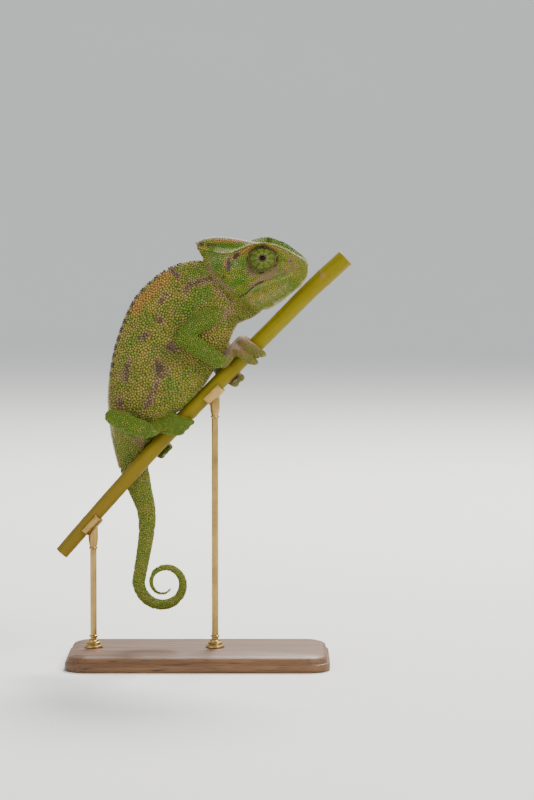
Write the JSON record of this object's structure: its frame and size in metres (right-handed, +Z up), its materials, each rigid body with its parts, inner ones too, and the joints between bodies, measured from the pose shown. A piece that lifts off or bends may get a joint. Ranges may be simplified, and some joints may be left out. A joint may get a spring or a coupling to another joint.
{
  "type": "chameleon model on a stand",
  "caption": "Life-size still model of a green Mediterranean chameleon climbing a cut plant stem, held by rods on a flat display base.",
  "frame": {"origin": "centre of the flat underside of the display base", "axes": "+Z is up; +X is the way the animal climbs and looks; +Y is its left, so -Y is its right flank"},
  "size_m": [0.1121, 0.054, 0.1626],
  "materials": {
    "skin": "satin granular scales, olive to yellow-green",
    "eye": "wet gloss black",
    "stem": "smooth yellow-green bark, browner towards its foot",
    "wood": "satin dark walnut",
    "brass": "brushed satin"
  },
  "bodies": {
    "root": {"head": "skin", "casque": "skin", "lower_jaw": "skin", "eye_turret_right": "skin", "eye_turret_left": "skin", "neck": "skin", "trunk": "skin", "pelvis": "skin", "tail_1": "skin", "tail_2": "skin", "tail_3": "skin", "tail_4": "skin", "upper_arm_right": "skin", "forearm_right": "skin", "hand_right_outer": "skin", "hand_right_inner": "skin", "upper_arm_left": "skin", "forearm_left": "skin", "hand_left_outer": "skin", "hand_left_inner": "skin", "thigh_right": "skin", "shin_right": "skin", "foot_right_outer": "skin", "foot_right_inner": "skin", "thigh_left": "skin", "shin_left": "skin", "foot_left_outer": "skin", "foot_left_inner": "skin", "eye_right": "eye", "eye_left": "eye", "perch": "stem", "stand_base": "wood", "stand_post_low": "brass", "stand_post_high": "brass"}
  },
  "joints": []
}
